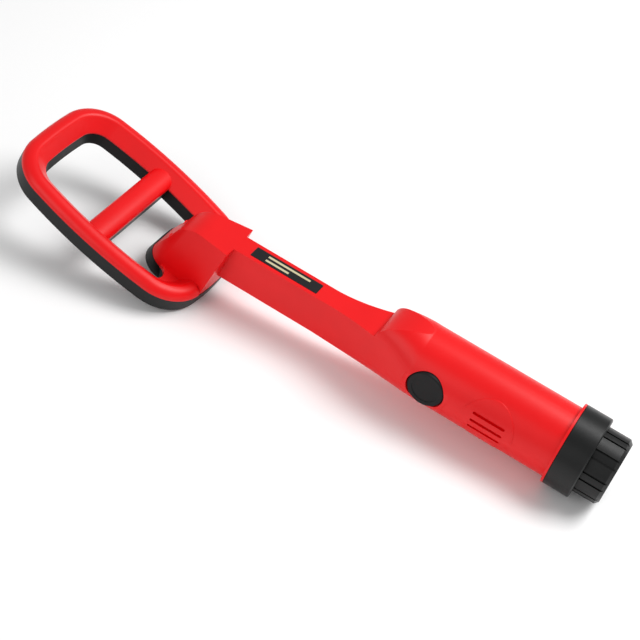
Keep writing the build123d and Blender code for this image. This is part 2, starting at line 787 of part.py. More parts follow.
with BuildPart() as capacitors:
    with BuildSketch(Plane.XZ.offset(-board_back_y)):
        with Locations((-93.0, 10.0), (-84.5, 10.0), (-76.0, 10.0)):
            Circle(3.4)
    extrude(amount=-9.5)

capacitors.part.label = "capacitors"
export_step(capacitors.part, "parts/capacitors.step")

with BuildPart() as coil_connector:
    with BuildSketch(Plane.XZ.offset(-board_back_y)):
        with Locations((-99.0, 0)):
            Rectangle(6.0, 8.0)
    extrude(amount=-6.0)

coil_connector.part.label = "coil_connector"
export_step(coil_connector.part, "parts/coil_connector.step")

with BuildPart() as power_connector:
    with BuildSketch(Plane.XZ.offset(-board_back_y)):
        with Locations((-69.0, 0)):
            Rectangle(6.0, 8.0)
    extrude(amount=-6.0)

power_connector.part.label = "power_connector"
export_step(power_connector.part, "parts/power_connector.step")

with BuildPart() as board_screws:
    with BuildSketch(Plane.XZ.offset(-BOARD_Y)):
        with Locations(*BOARD_SCREW_PLACES):
            Circle(2.3)
    extrude(amount=1.5)
    with BuildSketch(Plane.XZ.offset(-BOARD_Y)):
        with Locations(*BOARD_SCREW_PLACES):
            Circle(1.2)
    extrude(amount=-5.0)

board_screws.part.label = "board_screws"
export_step(board_screws.part, "parts/board_screws.step")

# ---------------------------------------------------------------- sounder

with BuildPart() as sounder_disc:
    with BuildSketch(Plane.XZ.offset(SOUNDER_SEAT_DEPTH)):
        with Locations((SOUNDER_X, 0)):
            Circle(SOUNDER_R)
    extrude(amount=-SOUNDER_THICKNESS)

sounder_disc.part.label = "sounder_disc"
export_step(sounder_disc.part, "parts/sounder_disc.step")

with BuildPart() as sounder_leads:
    # they leave the disc's back face and reach the board's front face
    add(
        wire_pair(
            [(SOUNDER_X - 6, -14.6), (SOUNDER_X - 6, -12.5), (-58, -12.5), (-65, -12), (-65, BOARD_Y)],
            2.4,
            0.5,
            1.5,
        )
    )

sounder_leads.part.label = "sounder_leads"
export_step(sounder_leads.part, "parts/sounder_leads.step")

# ---------------------------------------------------------------- battery

with BuildPart() as battery:
    with BuildSketch(Plane.YZ.offset(BATTERY_REAR_X - BATTERY_BODY)):
        RectangleRounded(BATTERY_WIDTH, BATTERY_HEIGHT, 2.0)
    extrude(amount=BATTERY_BODY)
    with BuildSketch(Plane.YZ.offset(BATTERY_REAR_X - BATTERY_BODY)):
        with Locations((0, 6.35)):
            Circle(2.9)
        with Locations((0, -6.35)):
            RegularPolygon(4.2, 6)
    extrude(amount=-TERMINAL_LENGTH)

battery.part.label = "battery"
export_step(battery.part, "parts/battery.step")

snap_x = BATTERY_REAR_X - BATTERY_BODY - TERMINAL_LENGTH
with BuildPart() as battery_snap:
    with BuildSketch(Plane.YZ.offset(snap_x)):
        RectangleRounded(12.0, 25.0, 1.5)
    extrude(amount=-3.6)

battery_snap.part.label = "battery_snap"
export_step(battery_snap.part, "parts/battery_snap.step")

with BuildPart() as battery_leads:
    add(
        wire_pair(
            [(snap_x - 3.6, 1.5), (-42.0, 1.5), (-50.0, 7.0), (-60.0, 7.0), (-62.0, -1.4), (-66.0, -1.4)],
            3.0,
            0.8,
            1.8,
        )
    )

battery_leads.part.label = "battery_leads"
export_step(battery_leads.part, "parts/battery_leads.step")

# bulkhead between the board and the battery, with two plates that hold the battery and two board lugs
with BuildPart() as battery_cradle:
    with BuildSketch(Plane.YZ.offset(CRADLE_X)):
        Circle(CAVITY_R - FREE_GAP)
        with Locations((7.0, 0)):
            Rectangle(5.0, 9.0, mode=Mode.SUBTRACT)
        # flat side that clears the sounder's seat
        with Locations((-18.4, 0)):
            Rectangle(8.4, 2 * SOUNDER_R + 5, mode=Mode.SUBTRACT)
        with Locations((-12.5, 0)):
            Rectangle(5.0, 5.0, mode=Mode.SUBTRACT)
    extrude(amount=2.5)
    with BuildSketch(Plane.YZ.offset(CRADLE_X)):
        Circle(CAVITY_R - FREE_GAP)
        Rectangle(50, 2 * (BATTERY_HEIGHT / 2 + 0.3), mode=Mode.SUBTRACT)
        with Locations((0, 18.6), (0, -18.6)):
            Rectangle(13, 6, mode=Mode.SUBTRACT)
    extrude(amount=-CRADLE_X - 16)
    with BuildSketch(Plane.XZ.offset(-board_back_y)):
        with Locations((CRADLE_X - 3.5, 9.5), (CRADLE_X - 3.5, -9.5)):
            Rectangle(7.0, 6.0)
    extrude(amount=-6.0)
    with BuildSketch(Plane.XZ.offset(-board_back_y)):
        with Locations(*BOARD_SCREW_PLACES):
            Circle(1.25)
    extrude(amount=-4.0, mode=Mode.SUBTRACT)

battery_cradle.part.label = "battery_cradle"
export_step(battery_cradle.part, "parts/battery_cradle.step")

# ---------------------------------------------------------------- vibration motor

with BuildPart() as vibration_motor:
    with BuildSketch(Plane.YZ.offset(-92)):
        with Locations((MOTOR_Y, MOTOR_Z)):
            Circle(MOTOR_R)
    extrude(amount=12)
    with BuildSketch(Plane.YZ.offset(-82)):
        with Locations((MOTOR_Y, MOTOR_Z)):
            Circle(MOTOR_SHAFT_R + THIN_GAP)
    extrude(amount=4, mode=Mode.SUBTRACT)

vibration_motor.part.label = "vibration_motor"
export_step(vibration_motor.part, "parts/vibration_motor.step")

with BuildPart() as motor_clip:
    with BuildSketch(Plane.YZ.offset(-90.5)):
        with Locations((board_back_y / 2 + 2.0, MOTOR_Z)):
            Rectangle(4.0 - board_back_y, 11.2)
        with Locations((MOTOR_Y, MOTOR_Z)):
            Circle(MOTOR_R, mode=Mode.SUBTRACT)
    extrude(amount=9)

motor_clip.part.label = "motor_clip"
export_step(motor_clip.part, "parts/motor_clip.step")

with BuildPart() as motor_shaft:
    with BuildSketch(Plane.YZ.offset(-81.5)):
        with Locations((MOTOR_Y, MOTOR_Z)):
            Circle(MOTOR_SHAFT_R)
    extrude(amount=8.5)

motor_shaft.part.label = "motor_shaft"
export_step(motor_shaft.part, "parts/motor_shaft.step")

# half-round weight, off centre so that the turning motor shakes the grip
with BuildPart() as vibration_weight:
    with BuildSketch(Plane.YZ.offset(-78)):
        with Locations((MOTOR_Y, MOTOR_Z)):
            Circle(MOTOR_R - 0.3)
        with Locations((MOTOR_Y, MOTOR_Z + MOTOR_R + 1.2)):
            Rectangle(2 * MOTOR_R, 2 * MOTOR_R, mode=Mode.SUBTRACT)
        with Locations((MOTOR_Y, MOTOR_Z)):
            Circle(2.0)
            Circle(MOTOR_SHAFT_R, mode=Mode.SUBTRACT)
    extrude(amount=4.5)

vibration_weight.part.label = "vibration_weight"
export_step(vibration_weight.part, "parts/vibration_weight.step")
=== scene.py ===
# %% [markdown]
# # An underwater metal detector in Blender
# The detector is a hand-held probe for divers: a rounded search loop on a flat shaft, and a round grip
# with a push button, three sounder slots and a battery cap that screws on. The measured CAD model is
# loaded first and stays where it is. Every piece made here takes its place from it.

# %% Load the measured model
import bpy
import bmesh
import json
from math import cos, radians, sin
from mathutils import Matrix, Vector


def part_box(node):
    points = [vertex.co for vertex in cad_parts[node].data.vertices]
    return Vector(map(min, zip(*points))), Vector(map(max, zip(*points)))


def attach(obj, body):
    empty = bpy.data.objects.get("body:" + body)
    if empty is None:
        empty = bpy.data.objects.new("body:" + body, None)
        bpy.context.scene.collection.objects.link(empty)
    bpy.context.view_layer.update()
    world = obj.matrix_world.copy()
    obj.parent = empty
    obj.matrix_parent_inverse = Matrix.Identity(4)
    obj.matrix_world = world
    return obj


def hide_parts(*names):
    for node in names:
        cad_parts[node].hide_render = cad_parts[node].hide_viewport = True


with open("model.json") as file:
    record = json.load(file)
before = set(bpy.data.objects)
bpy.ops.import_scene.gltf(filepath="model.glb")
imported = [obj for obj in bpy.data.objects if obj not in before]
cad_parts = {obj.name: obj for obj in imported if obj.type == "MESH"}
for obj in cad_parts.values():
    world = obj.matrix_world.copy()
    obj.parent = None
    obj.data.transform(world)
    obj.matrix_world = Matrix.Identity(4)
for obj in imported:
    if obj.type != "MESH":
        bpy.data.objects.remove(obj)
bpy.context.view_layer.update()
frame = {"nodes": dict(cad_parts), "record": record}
scene = bpy.context.scene
nodes = frame["nodes"]
MM = 0.001

# %% [markdown]
# Materials are node trees, so two small helpers come first. One turns the hex colours that a paint chart
# uses into Blender's linear light. The other adds a node, sets its options and joins its inputs, which
# keeps each material down to a few readable lines.

# %% Helpers for colour and nodes


def linear(hex_colour):
    """Linear RGBA from an sRGB hex colour such as '#D8161C'."""
    channels = [int(hex_colour[i : i + 2], 16) / 255 for i in (1, 3, 5)]
    return [c / 12.92 if c <= 0.04045 else ((c + 0.055) / 1.055) ** 2.4 for c in channels] + [1.0]


def add(tree, kind, inputs=None, **settings):
    """Adds a node to a tree. Each input is set to a value, or linked if it is given a socket."""
    node = tree.nodes.new(kind)
    for key, value in settings.items():
        setattr(node, key, value)
    for key, value in (inputs or {}).items():
        if isinstance(value, bpy.types.NodeSocket):
            tree.links.new(value, node.inputs[key])
        else:
            node.inputs[key].default_value = value
    return node


def ramp(tree, factor, stops):
    """A colour ramp with (position, hex colour) stops."""
    node = add(tree, "ShaderNodeValToRGB", {"Fac": factor})
    elements = node.color_ramp.elements
    while len(elements) < len(stops):
        elements.new(0.5)
    for element, (position, colour) in zip(elements, stops):
        element.position = position
        element.color = linear(colour)
    return node


def start(name):
    """A new material with its tree, its shader and its coordinates in millimetres."""
    material = bpy.data.materials.new(name)
    material.use_nodes = True
    tree = material.node_tree
    shader = tree.nodes["Principled BSDF"]
    place = add(tree, "ShaderNodeTexCoord")
    millimetres = add(tree, "ShaderNodeVectorMath", {0: place.outputs["Object"]}, operation="SCALE")
    millimetres.inputs["Scale"].default_value = 1 / MM
    return material, tree, shader, millimetres.outputs["Vector"]


# %% [markdown]
# Almost everything outside is injection-moulded plastic. A mould is spark-eroded, which leaves a fine
# leather-like grain of about a quarter of a millimetre on the part. Large faces also vary a little in
# colour and shine where the melt flowed. One function makes that finish, and its arguments say how the
# red ABS, the black ABS and the nylon differ. The grain is drawn coarser than the real one so that it shows.

# %% Moulded plastics


def moulded(name, colour, deep, roughness, grain_mm, grain_height, specular=0.35):
    """Moulded plastic: colour drifts towards deep over centimetres, and a fine grain breaks up the shine."""
    material, tree, shader, place = start(name)
    drift = add(tree, "ShaderNodeTexNoise", {"Vector": place, "Scale": 0.03, "Detail": 2.0, "Roughness": 0.5})
    mix = ramp(tree, drift.outputs["Fac"], [(0.35, deep), (0.65, colour)])
    tree.links.new(mix.outputs["Color"], shader.inputs["Base Color"])
    speck = add(tree, "ShaderNodeTexNoise", {"Vector": place, "Scale": 0.4, "Detail": 4.0, "Roughness": 0.6})
    shine = add(
        tree,
        "ShaderNodeMapRange",
        {"Value": speck.outputs["Fac"], "To Min": roughness - 0.05, "To Max": roughness + 0.07},
    )
    tree.links.new(shine.outputs["Result"], shader.inputs["Roughness"])
    grain = add(tree, "ShaderNodeTexNoise", {"Vector": place, "Scale": 1 / grain_mm, "Detail": 3.0})
    bump = add(
        tree,
        "ShaderNodeBump",
        {"Height": grain.outputs["Fac"], "Strength": 0.35, "Distance": grain_height * MM},
    )
    tree.links.new(bump.outputs["Normal"], shader.inputs["Normal"])
    shader.inputs["IOR"].default_value = 1.53
    shader.inputs["Specular IOR Level"].default_value = specular
    return material


# Glossy ABS is bright and saturated, and its broad highlight stays soft under the grain.
red_abs = moulded("red_abs_moulded", "#EA0A10", "#E3080E", 0.36, 0.7, 0.05, 0.28)
# Black ABS for the loop's base, with a satin surface that shows grey where light grazes it.
black_abs = moulded("black_abs_moulded", "#0D0E0F", "#0A0B0C", 0.42, 0.7, 0.06, 0.25)
# Glass-filled nylon for the cap: tougher, and a little greyer where the fibres reach the surface.
cap_nylon = moulded("glass_filled_nylon", "#0C0D0D", "#090A0A", 0.36, 0.6, 0.06, 0.3)
connector_nylon = moulded("natural_nylon", "#DEDACB", "#D3CDBA", 0.45, 0.8, 0.03)
cradle_abs = moulded("grey_abs", "#8C9094", "#82868A", 0.45, 0.8, 0.05)
plunger_abs = moulded("red_switch_abs", "#B4231C", "#A81E18", 0.40, 0.8, 0.03)
epoxy = moulded("moulded_epoxy", "#191A1C", "#141516", 0.48, 0.4, 0.04)
snap_vinyl = moulded("black_vinyl", "#141414", "#101010", 0.50, 0.8, 0.04)
wire_silicone = moulded("silicone_wire_sheath", "#A8120F", "#98100D", 0.50, 0.5, 0.02)
lead_pvc = moulded("pvc_cable_sheath", "#1A1A1C", "#151516", 0.45, 0.5, 0.02)
print("moulded plastics ready")

# %% [markdown]
# Rubber is duller than plastic, and it has no sharp highlight. The button is a soft moulded rubber and the
# seals are nitrile. The pad that pushes on the battery is closed-cell foam, whose cut cells are small pits.

# %% Rubbers and foam


def rubber(name, colour, roughness, grain_mm, grain_height):
    """Moulded rubber with a fine blasted grain and a faint dusty sheen."""
    material, tree, shader, place = start(name)
    grain = add(tree, "ShaderNodeTexNoise", {"Vector": place, "Scale": 1 / grain_mm, "Detail": 4.0})
    tint = ramp(tree, grain.outputs["Fac"], [(0.3, colour), (0.8, "#1C1D1E")])
    tree.links.new(tint.outputs["Color"], shader.inputs["Base Color"])
    bump = add(
        tree,
        "ShaderNodeBump",
        {"Height": grain.outputs["Fac"], "Strength": 0.4, "Distance": grain_height * MM},
    )
    tree.links.new(bump.outputs["Normal"], shader.inputs["Normal"])
    shader.inputs["Roughness"].default_value = roughness
    shader.inputs["IOR"].default_value = 1.52
    shader.inputs["Specular IOR Level"].default_value = 0.2
    shader.inputs["Sheen Weight"].default_value = 0.03
    return material


def closed_cell_foam():
    """Die-cut foam: rounded cells about 0.8 mm across, with painted shade that darkens them where they are
    open.
    """
    material, tree, shader, place = start("closed_cell_foam")
    cells = add(tree, "ShaderNodeTexVoronoi", {"Vector": place, "Scale": 1 / 0.8})
    # Painted shade: the ramp darkens the foam away from each cell's middle, where the bump sets the surface
    # low, as shade in the open pits.
    tint = ramp(tree, cells.outputs["Distance"], [(0.1, "#3C3D3F"), (0.7, "#232425")])
    tree.links.new(tint.outputs["Color"], shader.inputs["Base Color"])
    bump = add(
        tree,
        "ShaderNodeBump",
        {"Height": cells.outputs["Distance"], "Strength": 0.6, "Distance": 0.2 * MM},
        invert=True,
    )
    tree.links.new(bump.outputs["Normal"], shader.inputs["Normal"])
    shader.inputs["Roughness"].default_value = 0.9
    return material


button_rubber = rubber("soft_touch_rubber", "#0A0B0C", 0.55, 0.5, 0.05)
seal_rubber = rubber("nitrile_rubber", "#0E0F10", 0.42, 0.6, 0.04)
foam = closed_cell_foam()
print("rubbers and foam ready")

# %% [markdown]
# Metals get their colour from the reflection itself, so metallic is 1 and the base colour is the metal's.
# Drawn and rolled metal carries fine lines in one direction. A noise texture squeezed along that
# direction draws them, and the same lines vary the roughness.

# %% Metals


def drawn_metal(name, colour, dark, roughness, along, line_mm=0.4):
    """Bare metal with fine lines along one axis: along is the stretch of the pattern on x, y and z."""
    material, tree, shader, place = start(name)
    stretched = add(tree, "ShaderNodeMapping", {"Vector": place, "Scale": along})
    lines = add(
        tree,
        "ShaderNodeTexNoise",
        {"Vector": stretched.outputs["Vector"], "Scale": 1 / line_mm, "Detail": 3.0},
    )
    tint = ramp(tree, lines.outputs["Fac"], [(0.3, dark), (0.7, colour)])
    tree.links.new(tint.outputs["Color"], shader.inputs["Base Color"])
    shine = add(
        tree,
        "ShaderNodeMapRange",
        {"Value": lines.outputs["Fac"], "To Min": roughness - 0.06, "To Max": roughness + 0.08},
    )
    tree.links.new(shine.outputs["Result"], shader.inputs["Roughness"])
    shader.inputs["Metallic"].default_value = 1.0
    return material


screw_steel = drawn_metal("stainless_steel", "#C4C6C9", "#A9ABAE", 0.28, (1, 1, 0.2))
can_nickel = drawn_metal("nickel_plated_steel", "#CFC9BE", "#B5AFA4", 0.30, (0.1, 1, 1))
can_aluminium = drawn_metal("drawn_aluminium", "#D5D6D8", "#BCBDBF", 0.35, (1, 0.1, 1))
sheet_brass = drawn_metal("rolled_brass", "#D9B25C", "#C49C48", 0.30, (0.2, 1, 1))
enamelled_copper = drawn_metal("enamelled_copper", "#C46A35", "#A4522A", 0.28, (1, 1, 1), 0.6)
enamelled_copper.node_tree.nodes["Principled BSDF"].inputs["Coat Weight"].default_value = 0.5
print("metals ready")

# %% [markdown]
# Three finishes are printed or coated sheets. The circuit board is glass-epoxy under green lacquer, with
# its copper tracks as faint lighter lines. The battery's steel shell is lacquered in two bands. The
# nameplate is a dark film, and its printing here is plain pale bars instead of words.

# %% Coated sheets
BAND = 16.0
BAND_EDGE = 0.2


def circuit_board():
    """Green solder mask over copper: straight tracks 2.5 mm apart show as slightly raised, lighter lines."""
    material, tree, shader, place = start("glass_epoxy_board")
    split = add(tree, "ShaderNodeSeparateXYZ", {"Vector": place})
    flat = add(tree, "ShaderNodeCombineXYZ", {"X": split.outputs["X"], "Y": split.outputs["Z"]})
    tracks = add(
        tree,
        "ShaderNodeTexBrick",
        {
            "Vector": flat.outputs["Vector"],
            "Scale": 1.0,
            "Mortar Size": 0.25,
            "Brick Width": 7.5,
            "Row Height": 2.5,
        },
    )
    tracks.inputs["Color1"].default_value = linear("#0E4A2B")
    tracks.inputs["Color2"].default_value = linear("#0C4226")
    tracks.inputs["Mortar"].default_value = linear("#2B7A4C")
    tree.links.new(tracks.outputs["Color"], shader.inputs["Base Color"])
    bump = add(
        tree, "ShaderNodeBump", {"Height": tracks.outputs["Fac"], "Strength": 0.5, "Distance": 0.05 * MM}
    )
    tree.links.new(bump.outputs["Normal"], shader.inputs["Normal"])
    shader.inputs["Roughness"].default_value = 0.25
    shader.inputs["Coat Weight"].default_value = 0.4
    return material


def battery_lacquer():
    """Lacquered steel in two bands along the block, split 16 mm from its terminal end."""
    material, tree, shader, place = start("lacquered_steel")
    split = add(tree, "ShaderNodeSeparateXYZ", {"Vector": place})
    terminal_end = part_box("battery")[0].x / MM
    band = add(
        tree,
        "ShaderNodeMapRange",
        {
            "Value": split.outputs["X"],
            "From Min": terminal_end + BAND,
            "From Max": terminal_end + BAND + BAND_EDGE,
        },
    )
    tint = ramp(tree, band.outputs["Result"], [(0.0, "#B5803A"), (1.0, "#20242A")])
    tree.links.new(tint.outputs["Color"], shader.inputs["Base Color"])
    shader.inputs["Metallic"].default_value = 0.6
    shader.inputs["Roughness"].default_value = 0.32
    shader.inputs["Coat Weight"].default_value = 0.6
    return material


board_lacquer = circuit_board()
battery_steel = battery_lacquer()
label_film = moulded("polyester_film", "#17181A", "#141517", 0.42, 0.9, 0.02, 0.25)
label_ink = moulded("screen_print_ink", "#CFC6A2", "#C4BA94", 0.5, 0.5, 0.02)
print("coated sheets ready")

# %% [markdown]
# The record says which finish each CAD piece has. One dictionary joins those slot names to the materials
# above, and the loop puts each on its piece.

# %% Put the finishes on the measured pieces
FINISHES = {
    "red_housing": red_abs,
    "black_housing": black_abs,
    "black_cap": cap_nylon,
    "soft_black": button_rubber,
    "seal_rubber": seal_rubber,
    "foam": foam,
    "label_film": label_film,
    "screw_steel": screw_steel,
    "copper_winding": enamelled_copper,
    "lead_sheath": lead_pvc,
    "wire_red": wire_silicone,
    "battery_shell": battery_steel,
    "snap_black": snap_vinyl,
    "cradle_grey": cradle_abs,
    "board_green": board_lacquer,
    "chip_black": epoxy,
    "can_aluminium": can_aluminium,
    "connector_white": connector_nylon,
    "sounder_brass": sheet_brass,
    "motor_steel": can_nickel,
    "switch_red": plunger_abs,
}
slot_of = {entry["node"]: entry["material_slot"] for entry in frame["record"]["subparts"]}
for name, piece in nodes.items():
    for material_slot in piece.material_slots:
        material_slot.material = FINISHES[slot_of[name]]
print("finished", len(slot_of), "pieces")

# %% [markdown]
# Geometry Nodes make the small things that repeat. A tree is a function too: its inputs are sizes in
# metres, and its output is a mesh. The helpers below declare those inputs, run a tree once on an object,
# and turn the result into a plain mesh, because instances don't survive an export.

# %% Helpers for Geometry Nodes


def new_tree(name, inputs):
    """An empty geometry tree with named inputs, given as {name: (socket type, default)}."""
    tree = bpy.data.node_groups.new(name, "GeometryNodeTree")
    tree.interface.new_socket("Geometry", in_out="INPUT", socket_type="NodeSocketGeometry")
    for label, (kind, default) in inputs.items():
        tree.interface.new_socket(label, in_out="INPUT", socket_type=kind).default_value = default
    tree.interface.new_socket("Geometry", in_out="OUTPUT", socket_type="NodeSocketGeometry")
    return tree, tree.nodes.new("NodeGroupInput").outputs


def join(tree, *parts):
    """Joins several geometries into one."""
    node = tree.nodes.new("GeometryNodeJoinGeometry")
    for part in parts:
        tree.links.new(part, node.inputs["Geometry"])
    return node.outputs["Geometry"]


def moved(tree, geometry, **place):
    """Moves, turns or scales a geometry: translation and scale are vectors, or sockets."""
    inputs = {key.title(): value for key, value in place.items()}
    return add(tree, "GeometryNodeTransform", {"Geometry": geometry, **inputs}).outputs["Geometry"]


def upward(tree, height, factor=1.0):
    """A vector along Z: a height socket times a factor."""
    scaled = add(tree, "ShaderNodeMath", {0: height, 1: factor}, operation="MULTIPLY")
    return add(tree, "ShaderNodeCombineXYZ", {"Z": scaled.outputs["Value"]}).outputs["Vector"]


def finish_tree(tree, geometry, material):
    """Ends a tree: instances become real, and everything gets its material."""
    real = add(tree, "GeometryNodeRealizeInstances", {"Geometry": geometry})
    solid = real.outputs["Geometry"]
    coloured = add(tree, "GeometryNodeSetMaterial", {"Geometry": solid, "Material": material})
    output = tree.nodes.new("NodeGroupOutput")
    tree.links.new(coloured.outputs["Geometry"], output.inputs["Geometry"])


def grown(name, points, tree, values, body, material):
    """Runs a tree once on a few points and keeps the result as a plain mesh that rides on a body."""
    seed = bpy.data.meshes.new(name)
    seed.from_pydata([tuple(p) for p in points], [], [])
    piece = bpy.data.objects.new(name, seed)
    scene.collection.objects.link(piece)
    modifier = piece.modifiers.new(name, "NODES")
    modifier.node_group = tree
    for item in tree.interface.items_tree:
        if item.in_out == "INPUT" and item.name in values:
            modifier[item.identifier] = values[item.name]
    shown = piece.evaluated_get(bpy.context.evaluated_depsgraph_get())
    mesh = bpy.data.meshes.new_from_object(shown)
    piece.modifiers.clear()
    piece.data = mesh
    mesh.name = name
    mesh.materials.clear()
    mesh.materials.append(material)
    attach(piece, body)
    print(name, len(mesh.polygons), "faces")
    return piece


# %% [markdown]
# Four screws hold the hub to the search loop. Each is a pan head with a cross recess cut by a boolean, a
# core, and a thread that is a small triangle swept along a spiral. The measured model's own screws have no
# thread. They say where the new ones go: each runs from the middle of its head to the middle of its tip.

# %% Hub screws
CORE_SHARE = 0.9
CORE_MIDDLE = 0.54
THREAD_SHARE = 0.94
THREAD_START = 1.1


def screw_tree():
    """A pan-head screw along the Axis input, head first, on every point."""
    tree, given = new_tree(
        "cross_head_screws",
        {
            "Head Radius": ("NodeSocketFloat", 3.0 * MM),
            "Head Height": ("NodeSocketFloat", 2.1 * MM),
            "Edge": ("NodeSocketFloat", 0.5 * MM),
            "Core Radius": ("NodeSocketFloat", 0.95 * MM),
            "Thread Height": ("NodeSocketFloat", 0.3 * MM),
            "Thread Turns": ("NodeSocketFloat", 15.0),
            "Length": ("NodeSocketFloat", 17.0 * MM),
            "Recess": ("NodeSocketFloat", 3.4 * MM),
            "Recess Width": ("NodeSocketFloat", 0.8 * MM),
            "Axis": ("NodeSocketVector", (0.0, 0.0, 1.0)),
        },
    )
    face_radius = add(
        tree, "ShaderNodeMath", {0: given["Head Radius"], 1: given["Edge"]}, operation="SUBTRACT"
    )
    rounded = add(
        tree,
        "GeometryNodeMeshCone",
        {
            "Vertices": 48,
            "Radius Bottom": face_radius.outputs["Value"],
            "Radius Top": given["Head Radius"],
            "Depth": given["Edge"],
        },
    )
    head_wall = add(
        tree, "ShaderNodeMath", {0: given["Head Height"], 1: given["Edge"]}, operation="SUBTRACT"
    )
    plain = add(
        tree,
        "GeometryNodeMeshCylinder",
        {"Vertices": 48, "Radius": given["Head Radius"], "Depth": head_wall.outputs["Value"]},
    )
    plain_middle = add(
        tree, "ShaderNodeMath", {0: given["Head Height"], 1: given["Edge"]}, operation="ADD"
    )
    head = add(tree, "GeometryNodeMeshBoolean", operation="UNION")
    head.solver = "EXACT"
    tree.links.new(rounded.outputs["Mesh"], head.inputs["Mesh 2"])
    raised = moved(tree, plain.outputs["Mesh"], translation=upward(tree, plain_middle.outputs["Value"], 0.5))
    tree.links.new(raised, head.inputs["Mesh 2"])
    bars = []
    for width, depth in (("Recess", "Recess Width"), ("Recess Width", "Recess")):
        size = add(
            tree, "ShaderNodeCombineXYZ", {"X": given[width], "Y": given[depth], "Z": given["Head Height"]}
        )
        bars.append(add(tree, "GeometryNodeMeshCube", {"Size": size.outputs["Vector"]}).outputs["Mesh"])
    cut = add(tree, "GeometryNodeMeshBoolean", {"Mesh 1": head.outputs["Mesh"]}, operation="DIFFERENCE")
    cut.solver = "EXACT"
    for bar in bars:
        tree.links.new(bar, cut.inputs["Mesh 2"])
    shank = add(
        tree, "ShaderNodeMath", {0: given["Length"], 1: given["Head Height"]}, operation="SUBTRACT"
    )
    core = add(
        tree,
        "GeometryNodeMeshCylinder",
        {"Vertices": 32, "Radius": given["Core Radius"], "Depth": given["Length"]},
    )
    core_short = moved(tree, core.outputs["Mesh"], scale=(1.0, 1.0, CORE_SHARE))
    core_placed = moved(tree, core_short, translation=upward(tree, given["Length"], CORE_MIDDLE))
    spiral = add(
        tree,
        "GeometryNodeCurveSpiral",
        {
            "Resolution": 20,
            "Rotations": given["Thread Turns"],
            "Start Radius": given["Core Radius"],
            "End Radius": given["Core Radius"],
            "Height": shank.outputs["Value"],
        },
    )
    ridge = add(
        tree,
        "GeometryNodeCurvePrimitiveCircle",
        {"Resolution": 3, "Radius": given["Thread Height"]},
        mode="RADIUS",
    )
    thread = add(
        tree,
        "GeometryNodeCurveToMesh",
        {"Curve": spiral.outputs["Curve"], "Profile Curve": ridge.outputs["Curve"], "Fill Caps": True},
    )
    thread_short = moved(tree, thread.outputs["Mesh"], scale=(1.0, 1.0, THREAD_SHARE))
    thread_placed = moved(tree, thread_short, translation=upward(tree, given["Head Height"], THREAD_START))
    screw = join(tree, cut.outputs["Mesh"], core_placed, thread_placed)
    turn = add(tree, "FunctionNodeAlignRotationToVector", {"Vector": given["Axis"]}, axis="Z")
    screws = add(
        tree,
        "GeometryNodeInstanceOnPoints",
        {"Points": given["Geometry"], "Instance": screw, "Rotation": turn.outputs["Rotation"]},
    )
    finish_tree(tree, screws.outputs["Instances"], screw_steel)
    return tree


def loose_parts(node):
    """The vertices of each separate solid in a CAD piece, as lists of points."""
    mesh = bmesh.new()
    mesh.from_mesh(nodes[node].data)
    bmesh.ops.remove_doubles(mesh, verts=mesh.verts, dist=0.001 * MM)
    waiting = set(mesh.verts)
    parts = []
    while waiting:
        group = [waiting.pop()]
        for vertex in group:
            for edge in vertex.link_edges:
                other = edge.other_vert(vertex)
                if other in waiting:
                    waiting.remove(other)
                    group.append(other)
        parts.append([vertex.co.copy() for vertex in group])
    mesh.free()
    return parts


def screw_axis(points):
    """The middle of a screw's head face and of its tip. The tip's ring is all there is in the upper half."""
    heights = [point.z for point in points]
    half_way = (min(heights) + max(heights)) / 2
    upper = [point for point in points if point.z > half_way]
    lower = [point for point in points if point.z <= half_way]
    tip = sum(upper, Vector()) / len(upper)
    centre = sum(lower, Vector()) / len(lower)
    direction = (tip - centre).normalized()
    face = min(point.dot(direction) for point in lower)
    return centre + direction * (face - centre.dot(direction)), tip


ends = [screw_axis(points) for points in loose_parts("hub_screws")]
axis = sum(((tip - head).normalized() for head, tip in ends), Vector()).normalized()
length = min((tip - head).length for head, tip in ends)
print("screw axis", tuple(round(a, 4) for a in axis), "length", round(length / MM, 2))
hub_screws = grown(
    "cross_head_screws",
    [head for head, tip in ends],
    screw_tree(),
    {"Length": length, "Axis": tuple(axis)},
    "housing",
    screw_steel,
)
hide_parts("hub_screws")

# %% [markdown]
# The nameplate carries no words here. Two plain bars of pale ink stand for its two lines of print, the
# second shorter than the first, and a tree lays them out from the top of the plate.

# %% Printed bars


def bars_tree():
    """Flat bars on every point, each shorter than the one before, that start at the same edge."""
    tree, given = new_tree(
        "printed_bars",
        {
            "Bar Length": ("NodeSocketFloat", 30.0 * MM),
            "Bar Width": ("NodeSocketFloat", 1.7 * MM),
            "Ink": ("NodeSocketFloat", 0.05 * MM),
            "Shorten": ("NodeSocketFloat", 0.45),
        },
    )
    size = add(
        tree, "ShaderNodeCombineXYZ", {"X": given["Bar Length"], "Y": given["Bar Width"], "Z": given["Ink"]}
    )
    bar = add(tree, "GeometryNodeMeshCube", {"Size": size.outputs["Vector"]})
    half = add(
        tree, "ShaderNodeVectorMath", {0: size.outputs["Vector"], 1: (0.5, 0.0, 0.0)}, operation="MULTIPLY"
    )
    from_edge = moved(tree, bar.outputs["Mesh"], translation=half.outputs["Vector"])
    number = tree.nodes.new("GeometryNodeInputIndex")
    lost = add(
        tree, "ShaderNodeMath", {0: number.outputs["Index"], 1: given["Shorten"]}, operation="MULTIPLY"
    )
    kept = add(tree, "ShaderNodeMath", {0: 1.0, 1: lost.outputs["Value"]}, operation="SUBTRACT")
    scale = add(tree, "ShaderNodeCombineXYZ", {"X": kept.outputs["Value"], "Y": 1.0, "Z": 1.0})
    laid = add(
        tree,
        "GeometryNodeInstanceOnPoints",
        {"Points": given["Geometry"], "Instance": from_edge, "Scale": scale.outputs["Vector"]},
    )
    finish_tree(tree, laid.outputs["Instances"], label_ink)
    return tree


